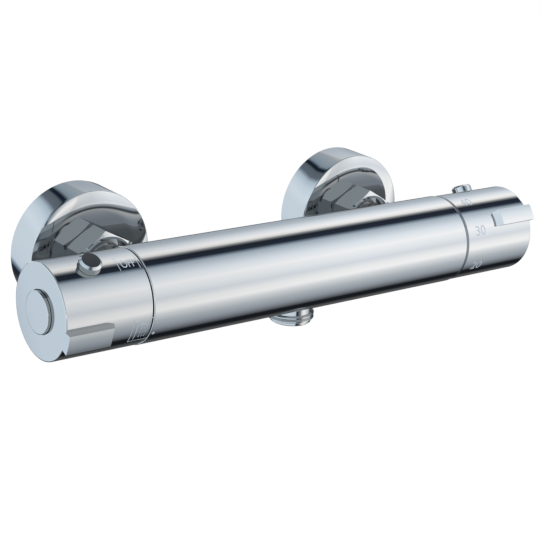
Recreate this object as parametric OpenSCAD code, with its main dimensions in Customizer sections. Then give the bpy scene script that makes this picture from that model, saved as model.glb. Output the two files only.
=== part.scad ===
// Wall-mounted thermostatic shower valve: a chromed bar with a flow handle on its left end, a temperature
// handle on its right end, two wall connections behind it and a threaded hose outlet below it.
// Millimetres. X runs along the bar, to the right as seen from the room, Y into the wall and Z up.
// The wall is the plane y = 0, and the origin lies midway between the two wall threads.
// An angle about the bar is 0 at the front of the bar and 90 at its top.

/* [Bar] */
// Distance between the two inlets of the bar
inlet_spacing = 150; // [146:0.5:152]
// Distance from the wall to the axis of the bar
wall_to_bar = 67.3; // [64:0.1:72]
// Outer diameter of the bar
body_d = 41.2; // [41:0.1:44]
// Distance from each inlet's axis to the bar's end face
inlet_to_end = 12.5; // [12:0.5:16]
// Rounding of the bar's two rims
body_edge = 0.4; // [0.2:0.1:0.8]

/* [Wall connections] */
// Outer diameter of the parallel pipe thread that screws into the wall
wall_thread_d = 20.955; // [20.5:0.05:21.2]
// Length of the thread inside the wall
wall_thread_len = 16; // [10:0.5:20]
// Height of the bar above the wall threads, made by the eccentric unions
union_rise = 6; // [2:0.5:7]
// Diameter of the escutcheons
escutcheon_d = 60; // [56:0.5:70]
// Depth of the escutcheons from the wall to their flat front
escutcheon_depth = 19.1; // [18:0.1:20]
// Sheet thickness of the escutcheons
escutcheon_wall = 1.2; // [0.8:0.1:1.6]
// Diameter of the flat middle of an escutcheon's front, inside its rounded band
escutcheon_flat_d = 42; // [34:0.5:50]
// How far the rounded band falls back at the rim
escutcheon_fall = 1.7; // [0.8:0.1:2.5]
// Size across the flats of the union nuts
nut_af = 27; // [26:0.5:30]
// Length of the union nuts
nut_len = 12.3; // [11:0.1:13]
// Diameter of the round inlet tails between the nuts and the bar
tail_d = 19.2; // [18.6:0.1:20.6]

/* [Handles] */
// Distance of the handles' wall inside the bar's surface
handle_step = 0.3; // [0:0.05:0.5]
// Length of the flow handle
flow_handle_len = 39.6; // [38:0.1:46]
// Length of the temperature handle
temp_handle_len = 42.8; // [38:0.1:48]
// Wall thickness of the handles
handle_wall = 3.2; // [2.6:0.1:3.6]
// Thickness of the handles' end walls
handle_end_wall = 3.4; // [2.8:0.1:4.5]
// Gap between the bar and each handle
seam_gap = 0.8; // [0.4:0.1:1.2]
// Rounding of the handles' outer edge
handle_edge = 0.6; // [0.3:0.1:1.2]
// Travel of the flow handle between open and off, in degrees
flow_travel = 90; // [60:1:110]
// Travel of the temperature handle between cold and hot, in degrees
temp_travel = 143; // [100:1:160]

/* [Grip lugs] */
// Height of the grip lugs above the handles
lug_rise = 3.2; // [2:0.1:4.5]
// Length of the flow handle's lug
flow_lug_len = 22; // [14:0.5:30]
// Length of the temperature handle's lug
temp_lug_len = 23; // [14:0.5:30]
// Place of the flow handle's lug about the bar, in degrees
flow_lug_angle = -17; // [-60:1:30]
// Place of the temperature handle's lug about the bar, in degrees
temp_lug_angle = 35; // [10:1:60]
// Width of the flow handle's lug, in degrees
flow_lug_span = 24; // [14:1:30]
// Width of the temperature handle's lug, in degrees
temp_lug_span = 20.5; // [14:0.5:30]

/* [Buttons] */
// Diameter of the press buttons
button_d = 9.5; // [8:0.1:11]
// Height of the buttons above the handles
button_rise = 4.2; // [3:0.1:6]
// Distance from a handle's end face to its button's axis
button_from_end = 17; // [17:0.5:22]
// Place of the flow handle's button about the bar, in degrees
flow_button_angle = 67; // [60:1:100]
// Place of the temperature handle's button about the bar, in degrees
temp_button_angle = 126; // [100:1:140]
// Travel of the buttons
button_travel = 2; // [1:0.1:2.2]

/* [End caps] */
// Diameter of the round caps in the handles' end faces
cap_d = 18; // [14:0.5:22]
// Height of the caps above the end faces
cap_rise = 1.6; // [0.8:0.1:2.4]

/* [Hose outlet] */
// Outer diameter of the outlet's pipe thread
outlet_thread_d = 20.955; // [20.5:0.05:21.2]
// Length of the outlet below the lowest line of the bar
outlet_len = 5.2; // [5:0.1:12]
// Diameter of the outlet's waterway
outlet_bore_d = 13; // [10:0.5:14]

/* [Cartridges] */
// Diameter of the bore for the flow cartridge
flow_bore_d = 25; // [24:0.1:26]
// Diameter of the bore for the thermostatic cartridge
thermo_bore_d = 27.6; // [27.2:0.1:28]
// Thickness of each ceramic disc
disc_t = 3; // [2.5:0.1:3.5]
// Diameter of the spindles
spindle_d = 10; // [9:0.1:11]
// Diameter over the corners of the splines that carry the handles
spline_d = 8.4; // [7.6:0.1:8.8]
// Distance between the cold ring and the hot ring of the thermostatic cartridge
ring_pitch = 25; // [24:0.5:28]

/* [Springs] */
// Wire diameter of the small springs
small_wire = 0.5; // [0.4:0.05:0.6]
// Wire diameter of the thermostatic return spring
return_wire = 1.2; // [0.8:0.1:1.5]
// Turns of each small spring
small_turns = 4; // [3:1:5]
// Turns of the thermostatic return spring
return_turns = 5; // [4:1:6]

/* [Fits] */
// Radial clearance of a turning or sliding fit
running_fit = 0.05; // [0.03:0.01:0.1]
// Clearance between pieces that are screwed or pushed together
seat_fit = 0.05; // [0.02:0.01:0.1]
// Clearance round the buttons and between parts that pass each other
pass_gap = 0.15; // [0.1:0.05:0.25]

/* [Hidden] */
$fn = 96;
cut = 1;             // how far a cut runs past the face that it opens
chrome = "#c9ced3";
brass = "#b8974c";
steel = "#9aa0a6";
rubber = "#26282b";
ceramic = "#ece9e2";
white_plastic = "#e8e8e4";
grey_plastic = "#6d7277";
hot = -1;            // the hot inlet and the flow handle lie at the left
cold = 1;            // the cold inlet and the temperature handle lie at the right

// Bar and its waterways
body_r = body_d / 2;
body_len = inlet_spacing + 2 * inlet_to_end;
passage_wall = 1.7;
passage_depth = 3.3;
passage_span = 64;
passage_out_r = body_r - passage_wall;
passage_in_r = passage_out_r - passage_depth;
passage_mid_r = (passage_in_r + passage_out_r) / 2;
passage_end = 0.8;
retainer_web = 1;
retainer_r = passage_in_r - retainer_web;
retainer_depth = 6;
mixed_bore_r = 6.4;
flow_bore_r = flow_bore_d / 2;
thermo_bore_r = thermo_bore_d / 2;
seal_t = 1.6;
chamber_t = 3;
cold_depth = inlet_to_end;
hot_depth = cold_depth + ring_pitch;
thermo_foot = 8;
thermo_depth = hot_depth + thermo_foot;
inlet_port_r = 6.5;
ring_port_r = 3.2;
spigot_r = 8;
spigot_depth = 2.4;

// Wall connections, measured from the wall outwards
escutcheon_r = escutcheon_d / 2;
neck_r = 12.4;
neck_gap = 0.4;
neck_hole_r = neck_r + neck_gap;
hub_len = 3.5;
grip_ring_t = 1.8;
grip_ring_share = 0.6;
grip_ring_at = escutcheon_depth - hub_len * grip_ring_share;
bend_from = 4;
bend_to = 9;
shoulder_from = 0.4;
nut_gap = 0.3;
nut_from = escutcheon_depth + nut_gap;
nut_to = nut_from + nut_len;
nut_face_share = 0.49;
nut_chamfer_angle = 30;
nut_corner_r = nut_af / sqrt(3);
nut_face_r = nut_af * nut_face_share;
nut_cone_r = nut_corner_r + cut;
nut_chamfer = (nut_cone_r - nut_face_r) * tan(nut_chamfer_angle);
hot_nut_turn = 3;
cold_nut_turn = -1;
nut_sink = 1.4;
nut_sink_r = 12.2;
nut_lip = 1.2;
lip_from = nut_to - nut_sink - nut_lip;
tail_r = tail_d / 2;
tail_neck_r = 8.6;
tail_shoulder_gap = 0.12;
tail_shoulder = nut_to - nut_sink + tail_shoulder_gap;
snap_ring_t = 1;
snap_ring_groove = 0.8;
snap_ring_r = 10.2;
snap_ring_open = 24;
snap_ring_to = lip_from - seat_fit;
snap_ring_from = snap_ring_to - snap_ring_t;
tail_from = snap_ring_from - snap_ring_t;
washer_t = 1.5;
washer_r = 10.2;
washer_mesh_t = 0.5;
washer_bore_r = 6;
mesh_hole_r = 1.1;
mesh_hole_at_share = 0.62;
mesh_holes = 6;
washer_to = tail_from - seat_fit;
washer_from = washer_to - washer_t;
thread_to = washer_from - seat_fit;
union_bore_r = 6.2;
cage_r = 6.5;
cage_len = 12.2;
cage_from = tail_from + seat_fit;
cage_to = cage_from + cage_len;
cage_seat_t = 1.7;
cage_seat_r = 4;
cage_wall = 1;
cage_web_t = 1.8;
cage_guide_r = 1.4;
cage_windows = 4;
cage_window_span = 70;
cage_window_in_share = 0.42;
poppet_t = 1.9;
poppet_r = 4.9;
poppet_stem_r = 1.2;
poppet_from = cage_from + cage_seat_t + seat_fit;
poppet_to = poppet_from + poppet_t;
web_from = cage_to - cage_web_t;
check_spring_r = 2.6;
tail_bore_r = cage_r + seat_fit;
tail_outlet_r = 5.4;

// Handles, measured outwards from the bar's end faces
handle_r = body_r - handle_step;
handle_bore_r = handle_r - handle_wall;
hub_r = 8.4;
hub_from = 14;
spline_from = 7;
spline_squares = 5;
socket_gap = 0.1;
web_t = 4;
screw_r = 2;
screw_reach = 10;
screw_head_r = 3.7;
screw_head_t = 2.6;
screw_slot_af = 2.5;
screw_slot_depth = 1.4;
spline_end_gap = 0.5;
cap_recess = 2;
cap_well_r = 4.6;
cap_stem_len = 5;
screw_head_gap = 3.15;
head_stack = cap_recess + cap_stem_len + screw_head_gap + screw_head_t + seat_fit;
cap_edge = 0.4;
rim_edge = 0.5;
lug_slant = 30;
lug_draw_share = 0.12;
rib_span = 12;
stop_t = 4;
stop_play = 1;
flow_rib_angle = 20;
temp_rib_angle = 60;

// Buttons, measured from the bar's axis
button_r = button_d / 2;
button_top = handle_r + button_rise;
button_chamfer = 0.9;
button_flange_w = 1.1;
button_flange_r = button_r + button_flange_w;
button_flange_t = 1.5;
button_flange_top = sqrt(pow(handle_bore_r, 2) - pow(button_flange_r, 2)) - pass_gap;
button_flange_foot = button_flange_top - button_flange_t;
button_spring_r = 2.9;
button_pad_r = 3.9;
button_pad_rise = 0.4;
button_pad_top = hub_r + button_pad_rise;
button_stem_r = 2;

// Cartridge heads, shared by both ends
flange_t = 2.4;
flange_r = retainer_r - pass_gap;
head_r = 8.8;
head_to = 6.4;
ring_nut_af = 24;
ring_nut_t = 4;
ring_nut_head_r = ring_nut_af / sqrt(3);
stop_bore_r = ring_nut_head_r + 2 * pass_gap;
stop_ring_wall = 1.1;
stop_ring_r = stop_bore_r + stop_ring_wall;
stop_lug_r = handle_bore_r - 2 * pass_gap;
rib_in_r = stop_ring_r + pass_gap;
spindle_r = spindle_d / 2;
spindle_bore_r = spindle_r + running_fit;
oring_t = 1.1;
oring_groove_t = 1.5;
spindle_oring_shares = [0.18, 0.62];

// Flow cartridge, measured from the bar's left end face
seal_r = flow_bore_r - 2 * seat_fit;
flow_housing_r = flow_bore_r - 2 * seat_fit;
disc_r = 10.4;
disc_bore_r = disc_r + 2 * seat_fit;
disc_window_r = 7.8;
disc_window_in_r = 2.4;
disc_windows = 2;
disc_window_span = 66;
flow_depth = retainer_depth + chamber_t + chamber_t + 2 * disc_t + seal_t;
seal_to = -flow_depth + seal_t;
fixed_disc_from = seal_to + seat_fit;
moving_disc_from = fixed_disc_from + disc_t + seat_fit;
foot_from = moving_disc_from + disc_t + seat_fit;
foot_to = foot_from + chamber_t - 2 * seat_fit;
foot_w = 6.4;
foot_r = 8.4;
side_windows = 4;
side_window_span = 56;
flow_port_at = foot_from + chamber_t / 2;

// Thermostatic cartridge, measured from the bar's right end face
thermo_housing_r = thermo_bore_r - 2 * seat_fit;
thermo_chamber_r = 11;
thermo_web_t = 2.4;
thermo_from = -thermo_depth + 2 * seat_fit;
window_w = 4;
cold_window_from = -cold_depth - window_w / 2;
hot_window_from = -hot_depth - window_w / 2;
window_span = 38;
ring_windows = 6;
chamber_top = cold_window_from + window_w;
collar_t = 1.6;
collar_r = 5.7;
plunger_af = 12;
plunger_turn = 30;
plunger_socket_af = plunger_af + 2 * pass_gap;
socket_top = -retainer_depth + pass_gap;
collar_to = socket_top - seat_fit;
collar_from = collar_to - collar_t;
shuttle_travel = 2;
end_play = 0.45;
plunger_to = collar_from - shuttle_travel - end_play;
plunger_len = 11;
plunger_from = plunger_to - plunger_len;
screw_thread_r = 3.2;
plunger_bore_r = screw_thread_r + 2 * running_fit;
plunger_floor = 2.4;
screw_end = plunger_from + plunger_floor + shuttle_travel + end_play;
piston_r = 1.8;
piston_len = 2;
wax_flange_r = 6.2;
wax_flange_t = 1.8;
wax_body_r = 4.8;
wax_flange_to = plunger_from - seat_fit - piston_len;
wax_flange_from = wax_flange_to - wax_flange_t;
shuttle_r = thermo_chamber_r - running_fit;
shuttle_wall = 1.6;
shuttle_web_t = 1.6;
shuttle_web_to = wax_flange_from - seat_fit;
shuttle_web_from = shuttle_web_to - shuttle_web_t;
window_lap = 0.4;
shuttle_from = hot_window_from - window_lap;
shuttle_to = cold_window_from + window_w / 4;
shuttle_hole_r = 1.3;
shuttle_hole_at_share = 0.72;
shuttle_holes = 6;
web_top = thermo_from + thermo_web_t;
web_rim = 1;
web_windows = 4;
web_window_span = 70;
return_spring_r = 7.4;
wax_body_from = thermo_from + thermo_web_t / 2;
oring_section_r = 0.9;
oring_outer_r = thermo_bore_r - seat_fit;
oring_mid_r = oring_outer_r - oring_section_r;
oring_groove_r = oring_mid_r - oring_section_r - seat_fit;
oring_groove_w = 2 * (oring_section_r + seat_fit);
oring_places = [
    (web_top + hot_window_from) / 2,
    (hot_window_from + cold_window_from + window_w) / 2,
    (chamber_top - retainer_depth) / 2
];

// Hose outlet
outlet_chamfer = 0.8;
outlet_relief = 0.5;
outlet_relief_depth = 1.2;
outlet_spigot_r = 8;
outlet_spigot_len = 2.4;

// Steps of the rounded edges and the springs
edge_steps = 4;
crown_steps = 10;
coil_sides = 6;
coil_steps = 12;
section_sides = 24;

// Outer face of the web that a handle's screw pulls on, and the end of the splines below it
function web_face(len) = seam_gap + len - head_stack;
function spline_end(len) = web_face(len) - web_t - spline_end_gap;

// Points of a round edge from one angle to another, about a centre
function edge_points(c, r, from, to, steps = edge_steps) =
    [for (k = [0:steps]) c + r * [cos(from + (to - from) * k / steps), sin(from + (to - from) * k / steps)]];

// Place of an angle about the bar in the plane of a bar end
function end_angle(side, a) = side > 0 ? 270 - a : a - 90;

// Moves to an inlet: Z then points from the wall into the room, and Y up
module at_inlet(side) {
    translate([side * inlet_spacing / 2, 0, union_rise]) rotate([90, 0, 0]) children();
}

// Moves to an end face of the bar: Z then points outwards along the bar
module at_end(side) {
    translate([side * body_len / 2, -wall_to_bar, union_rise]) rotate([0, side * 90, 0]) children();
}

// Moves to the middle of the bar: Z then points to the right along the bar
module at_middle() {
    translate([0, -wall_to_bar, union_rise]) rotate([0, 90, 0]) children();
}

// Turns to an angle about the bar at an end: Z then points straight out from the axis
module radial(side, a, z) {
    rotate([0, 0, end_angle(side, a)]) translate([0, 0, z]) rotate([0, 90, 0]) children();
}

module rod(r, from, to) {
    translate([0, 0, from]) cylinder(r = r, h = to - from);
}

module taper(r_from, r_to, from, to) {
    translate([0, 0, from]) cylinder(r1 = r_from, r2 = r_to, h = to - from);
}

module tube(r_out, r_in, from, to) {
    difference() {
        rod(r_out, from, to);
        rod(r_in, from - cut, to + cut);
    }
}

module hexagon(af, from, to) {
    translate([0, 0, from]) cylinder(r = af / sqrt(3), h = to - from, $fn = 6);
}

// Flat wedge between two angles, wide enough to cut through a radius
module wedge(r, from, to) {
    far = 2 * r;
    middle = (from + to) / 2;
    polygon(concat([[0, 0]], [for (a = [from, middle, to]) far * [cos(a), sin(a)]]));
}

// Part of a flat ring between two angles less than 180 degrees apart
module ring_part(r_out, r_in, from, to) {
    intersection() {
        difference() {
            circle(r = r_out);
            circle(r = r_in);
        }
        wedge(r_out, from, to);
    }
}

// One of a number of like windows round a ring
module window_part(r_out, r_in, k, count, span) {
    ring_part(r_out, r_in, 360 * k / count - span / 2, 360 * k / count + span / 2);
}

// Torus about Z
module o_ring(r_mid, section_r, z) {
    translate([0, 0, z]) rotate_extrude() translate([r_mid, 0]) circle(r = section_r, $fn = section_sides);
}

// Solid of the bar's outside, grown by a gap, for pieces that sit on its round wall
module bar_outside(gap) {
    at_middle() rod(body_r + gap, -body_len / 2, body_len / 2);
}

// One helical spring between two flat ends
module coil(r, wire_d, from, to, turns) {
    wire_r = wire_d / 2;
    n = turns * coil_steps;
    points = [
        for (i = [0:n], s = [0:coil_sides - 1])
            let (turn = 360 * i / coil_steps,
                 side = 360 * s / coil_sides,
                 reach = r + wire_r * cos(side),
                 rise = from + wire_r + (to - from - wire_d) * i / n)
            [reach * cos(turn), reach * sin(turn), rise + wire_r * sin(side)]
    ];
    last = n * coil_sides;
    faces = concat(
        [for (s = [1:coil_sides - 2]) [0, s, s + 1]],
        [for (s = [1:coil_sides - 2]) [last, last + s + 1, last + s]],
        [for (i = [0:n - 1], s = [0:coil_sides - 1])
            let (a = i * coil_sides + s, b = i * coil_sides + (s + 1) % coil_sides)
            [a, a + coil_sides, b + coil_sides]],
        [for (i = [0:n - 1], s = [0:coil_sides - 1])
            let (a = i * coil_sides + s, b = i * coil_sides + (s + 1) % coil_sides)
            [a, b + coil_sides, b]]
    );
    polyhedron(points = points, faces = faces);
}

// Star of turned squares: the outline of a spline or of its socket
module spline_outline(d) {
    for (k = [0:spline_squares - 1])
        rotate(k * 90 / spline_squares) square(d / sqrt(2), center = true);
}

// Bar: bored at both ends for the cartridges, with a hot passage at its back and a mixed passage at its foot
module valve_body() {
    color(chrome) difference() {
        at_middle() rotate_extrude() polygon(concat(
            [[0, -body_len / 2]],
            edge_points([body_r - body_edge, body_edge - body_len / 2], body_edge, -90, 0),
            edge_points([body_r - body_edge, body_len / 2 - body_edge], body_edge, 0, 90),
            [[0, body_len / 2]]
        ));
        at_end(hot) {
            rod(flow_bore_r, -flow_depth, cut);
            rod(retainer_r, -retainer_depth, cut);
        }
        at_end(cold) {
            rod(thermo_bore_r, -thermo_depth, cut);
            rod(retainer_r, -retainer_depth, cut);
        }
        at_middle() rod(mixed_bore_r, flow_depth - body_len / 2 - cut, body_len / 2 - thermo_depth + cut);
        hot_passage();
        mixed_passage();
        inlet_port(hot, passage_mid_r, inlet_port_r);
        inlet_port(cold, passage_in_r - passage_end, inlet_port_r);
        inlet_port(cold, 0, ring_port_r);
        at_outlet() rod(outlet_spigot_r + seat_fit, body_r - outlet_spigot_len, body_r + cut);
        at_outlet() rod(outlet_bore_d / 2, passage_mid_r, body_r + cut);
    }
}

// Passage along the back of the bar, from the hot inlet to the hot ring of the thermostatic cartridge
module hot_passage() {
    from = -inlet_spacing / 2 - inlet_port_r - passage_end;
    to = body_len / 2 - hot_depth + ring_port_r + passage_end;
    at_middle() translate([0, 0, from]) linear_extrude(to - from)
        ring_part(passage_out_r, passage_in_r, 90 - passage_span / 2, 90 + passage_span / 2);
    translate([body_len / 2 - hot_depth, -wall_to_bar, union_rise]) rotate([-90, 0, 0])
        rod(ring_port_r, thermo_bore_r / 2, passage_mid_r);
}

// Passage along the foot of the bar, from the flow cartridge to the hose outlet
module mixed_passage() {
    from = -body_len / 2 - flow_port_at - ring_port_r - passage_end;
    to = outlet_bore_d / 2 + passage_end;
    at_middle() translate([0, 0, from]) linear_extrude(to - from)
        ring_part(passage_out_r, passage_in_r, -passage_span / 2, passage_span / 2);
    translate([-body_len / 2 - flow_port_at, 0, 0]) at_outlet() rod(ring_port_r, 0, passage_mid_r);
}

// Round port at the back of the bar, from its outside down to a distance from the axis
module inlet_port(side, depth_r, r) {
    translate([side * inlet_spacing / 2, -wall_to_bar, union_rise]) rotate([-90, 0, 0]) {
        rod(r, depth_r, body_r + cut);
        if (depth_r > 0) rod(spigot_r + seat_fit, body_r - spigot_depth, body_r + cut);
    }
}

// Moves to the hose outlet: Z then points down
module at_outlet() {
    translate([0, -wall_to_bar, union_rise]) rotate([180, 0, 0]) children();
}

// Threaded outlet: its spigot screws into the foot of the bar
module outlet_nipple() {
    r = outlet_thread_d / 2;
    tip = body_r + outlet_len;
    color(chrome) difference() {
        union() {
            difference() {
                at_outlet() {
                    rod(r - outlet_relief_depth, body_r / 2, tip - outlet_chamfer);
                    rod(r, body_r + outlet_relief, tip - outlet_chamfer);
                    taper(r, r - outlet_chamfer, tip - outlet_chamfer, tip);
                }
                bar_outside(seat_fit);
            }
            at_outlet() rod(outlet_spigot_r, body_r - outlet_spigot_len + seat_fit, body_r + outlet_chamfer);
        }
        at_outlet() rod(outlet_bore_d / 2, 0, tip + cut);
    }
}

// Hollow cover against the wall, with a hub that holds it on the union
module escutcheon(side) {
    hub_r_out = neck_hole_r + escutcheon_wall;
    bore = escutcheon_r - escutcheon_wall;
    run = escutcheon_r - escutcheon_flat_d / 2;
    crown_r = (run * run + escutcheon_fall * escutcheon_fall) / (2 * escutcheon_fall);
    crown_angle = asin(run / crown_r);
    ceiling = escutcheon_depth - escutcheon_wall;
    crown_centre = [escutcheon_flat_d / 2, escutcheon_depth - crown_r];
    color(chrome) at_inlet(side) rotate_extrude() polygon(concat(
        [[bore, 0], [escutcheon_r, 0]],
        edge_points(crown_centre, crown_r, 90 - crown_angle, 90, crown_steps),
        [[neck_hole_r, escutcheon_depth], [neck_hole_r, escutcheon_depth - hub_len],
         [hub_r_out, escutcheon_depth - hub_len], [hub_r_out, ceiling],
         [escutcheon_flat_d / 2, ceiling], [bore, ceiling - escutcheon_fall]]
    ));
}

// Rubber ring in the union's groove that grips the escutcheon
module grip_ring(side) {
    section_r = grip_ring_t / 2;
    color(rubber) at_inlet(side) o_ring(neck_hole_r - seat_fit - section_r, section_r, grip_ring_at);
}

// Eccentric union: the wall thread and the nut's thread lie on parallel axes
module eccentric_union(side) {
    ring_r = neck_hole_r - 2 * seat_fit - grip_ring_t;
    half = grip_ring_t / 2 + seat_fit;
    color(brass) at_inlet(side) difference() {
        union() {
            translate([0, -union_rise, 0]) {
                rod(wall_thread_d / 2, -wall_thread_len, bend_to);
                rod(neck_r, shoulder_from, bend_to);
            }
            rod(neck_r, bend_from, escutcheon_depth);
            rod(wall_thread_d / 2, bend_from, thread_to);
        }
        translate([0, -union_rise, 0]) rod(union_bore_r, -wall_thread_len - cut, bend_to - washer_t);
        rod(union_bore_r, bend_from + washer_t, thread_to + cut);
        tube(neck_r + cut, ring_r, grip_ring_at - half, grip_ring_at + half);
    }
}

// Swivel nut with chamfered corners at both ends and a countersunk front
module union_nut(side) {
    turn = side > 0 ? cold_nut_turn : hot_nut_turn;
    color(chrome) at_inlet(side) rotate([0, 0, 90 + turn]) difference() {
        intersection() {
            hexagon(nut_af, nut_from, nut_to);
            rotate_extrude() polygon([
                [0, nut_from], [nut_face_r, nut_from], [nut_cone_r, nut_from + nut_chamfer],
                [nut_cone_r, nut_to - nut_chamfer], [nut_face_r, nut_to], [0, nut_to]
            ]);
        }
        rod(wall_thread_d / 2 + 2 * seat_fit, nut_from - cut, lip_from);
        rod(tail_neck_r + 2 * pass_gap, lip_from - cut, nut_to + cut);
        taper(tail_r + 2 * pass_gap, nut_sink_r, nut_to - nut_sink, nut_to);
        rod(nut_sink_r, nut_to, nut_to + cut);
    }
}

// Sealing washer with a strainer disc across its bore
module filter_washer(side) {
    color(rubber) at_inlet(side) {
        tube(washer_r, washer_bore_r, washer_from, washer_to);
        difference() {
            rod(washer_bore_r + seat_fit, washer_from, washer_from + washer_mesh_t);
            rod(mesh_hole_r, washer_from - cut, washer_to);
            for (k = [0:mesh_holes - 1])
                rotate([0, 0, 360 * k / mesh_holes]) translate([washer_bore_r * mesh_hole_at_share, 0, 0])
                    rod(mesh_hole_r, washer_from - cut, washer_to);
        }
    }
}

// Round tail that screws into the bar, carries the swivel nut and holds the check valve
module tail(side) {
    spigot_end = wall_to_bar - body_r + spigot_depth - seat_fit;
    color(chrome) difference() {
        union() {
            difference() {
                at_inlet(side) rod(tail_r, tail_shoulder, wall_to_bar - body_r / 2);
                bar_outside(seat_fit);
            }
            at_inlet(side) {
                rod(tail_neck_r, tail_from, tail_shoulder + seat_fit);
                rod(spigot_r, tail_shoulder, spigot_end);
            }
        }
        at_inlet(side) {
            tube(tail_r, tail_neck_r - snap_ring_groove, snap_ring_from - seat_fit, snap_ring_to + seat_fit);
            rod(tail_bore_r, tail_from - cut, cage_to + seat_fit);
            rod(tail_outlet_r, tail_from, spigot_end + cut);
        }
    }
}

// Split ring in the tail's groove that the nut's lip pulls against
module snap_ring(side) {
    color(steel) at_inlet(side) translate([0, 0, snap_ring_from]) linear_extrude(snap_ring_t) difference() {
        circle(r = snap_ring_r);
        circle(r = tail_neck_r - snap_ring_groove + seat_fit);
        wedge(snap_ring_r, 90 - snap_ring_open / 2, 90 + snap_ring_open / 2);
    }
}

// Cage of the check valve: a seat towards the wall and a guide web towards the bar
module check_cage(side) {
    window_in = cage_r * cage_window_in_share;
    color(white_plastic) at_inlet(side) difference() {
        rod(cage_r, cage_from, cage_to);
        rod(cage_seat_r, cage_from - cut, web_from);
        rod(cage_r - cage_wall, cage_from + cage_seat_t, web_from);
        rod(cage_guide_r, cage_from, cage_to + cut);
        for (k = [0:cage_windows - 1])
            translate([0, 0, web_from - cut]) linear_extrude(cage_web_t + 2 * cut)
                window_part(cage_r - cage_wall, window_in, k, cage_windows, cage_window_span);
    }
}

// Check valve's disc and stem, pressed onto the seat until water flows in
module check_poppet(side) {
    color(grey_plastic) at_inlet(side) {
        rod(poppet_r, poppet_from, poppet_to);
        rod(poppet_stem_r, poppet_to - poppet_t / 2, cage_to + poppet_t / 2);
    }
}

module check_spring(side) {
    color(steel) at_inlet(side)
        coil(check_spring_r, small_wire, poppet_to + seat_fit, web_from - seat_fit, small_turns);
}

// Rubber ring at the floor of the flow cartridge's bore
module flow_seal() {
    color(rubber) at_end(hot) tube(seal_r, mixed_bore_r + pass_gap, -flow_depth + seat_fit / 2, seal_to);
}

// Opposite windows of a ceramic disc
module disc_openings(from) {
    for (k = [0:disc_windows - 1])
        translate([0, 0, from - cut]) linear_extrude(disc_t + 2 * cut)
            window_part(disc_window_r, disc_window_in_r, k, disc_windows, disc_window_span);
}

module ceramic_disc(from) {
    color(ceramic) at_end(hot) difference() {
        rod(disc_r, from, from + disc_t);
        disc_openings(from);
    }
}

// Upper part of a cartridge housing: flange, neck and spindle bore
module cartridge_head() {
    rod(flange_r, -retainer_depth + seat_fit / 2, -retainer_depth + flange_t);
    rod(head_r, -retainer_depth, head_to);
}

// Brass housing round the two ceramic discs, with side windows above them
module flow_cartridge_housing() {
    color(brass) at_end(hot) difference() {
        union() {
            rod(flow_housing_r, fixed_disc_from, -retainer_depth + seat_fit);
            cartridge_head();
        }
        rod(disc_bore_r, fixed_disc_from - cut, foot_to + seat_fit);
        rod(spindle_bore_r, foot_to, head_to + cut);
        for (k = [0:side_windows - 1])
            translate([0, 0, foot_from]) linear_extrude(chamber_t - seat_fit)
                window_part(flow_housing_r + cut, disc_bore_r / 2, k, side_windows, side_window_span);
    }
}

// Shaft with two O-ring grooves and a splined end
module spindle_shaft(from, len) {
    spline_to = spline_end(len);
    difference() {
        rod(spindle_r, from, spline_from);
        for (z = oring_z())
            tube(spindle_r + cut, spindle_r - oring_t, z - oring_groove_t / 2, z + oring_groove_t / 2);
    }
    difference() {
        translate([0, 0, spline_from - cut]) linear_extrude(spline_to - spline_from + cut)
            spline_outline(spline_d);
        rod(screw_r, web_face(len) - screw_reach - web_t - cut, spline_to + cut);
    }
}

// Places of the spindle's O-rings along its bore
function oring_z() = [for (s = spindle_oring_shares) -retainer_depth + (head_to + retainer_depth) * s];

// Flow spindle: its flat foot turns the upper disc
module flow_spindle() {
    color(brass) at_end(hot) {
        spindle_shaft(foot_to - seat_fit, flow_handle_len);
        translate([0, 0, foot_from]) linear_extrude(foot_to - foot_from) intersection() {
            circle(r = foot_r);
            square([foot_w, 2 * foot_r + cut], center = true);
        }
    }
}

module spindle_orings(side) {
    color(rubber) at_end(side)
        for (z = oring_z()) o_ring(spindle_r - oring_t / 2, oring_t / 2 - seat_fit / 2, z);
}

// Screwed ring with a hexagon head that holds a cartridge in the bar
module retaining_nut(side) {
    color(brass) at_end(side) difference() {
        union() {
            rod(retainer_r - seat_fit, -retainer_depth + flange_t + seat_fit, -seat_fit);
            hexagon(ring_nut_af, -retainer_depth / 2, ring_nut_t);
        }
        rod(head_r + 2 * seat_fit, -retainer_depth, ring_nut_t + cut);
    }
}

// Plastic ring on the bar's end face whose lug stops the handle's rib at both ends of its travel
module stop_ring(side, rib_angle, travel) {
    clear = rib_span / 2 + stop_play;
    near = end_angle(side, rib_angle + clear);
    far = end_angle(side, rib_angle - travel - clear);
    color(white_plastic) at_end(side) translate([0, 0, seat_fit]) linear_extrude(stop_t) {
        difference() {
            circle(r = stop_ring_r);
            circle(r = stop_bore_r);
        }
        difference() {
            circle(r = stop_lug_r);
            circle(r = stop_bore_r + stop_ring_wall / 2);
            wedge(stop_lug_r, min(near, far), max(near, far));
        }
    }
}

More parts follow.
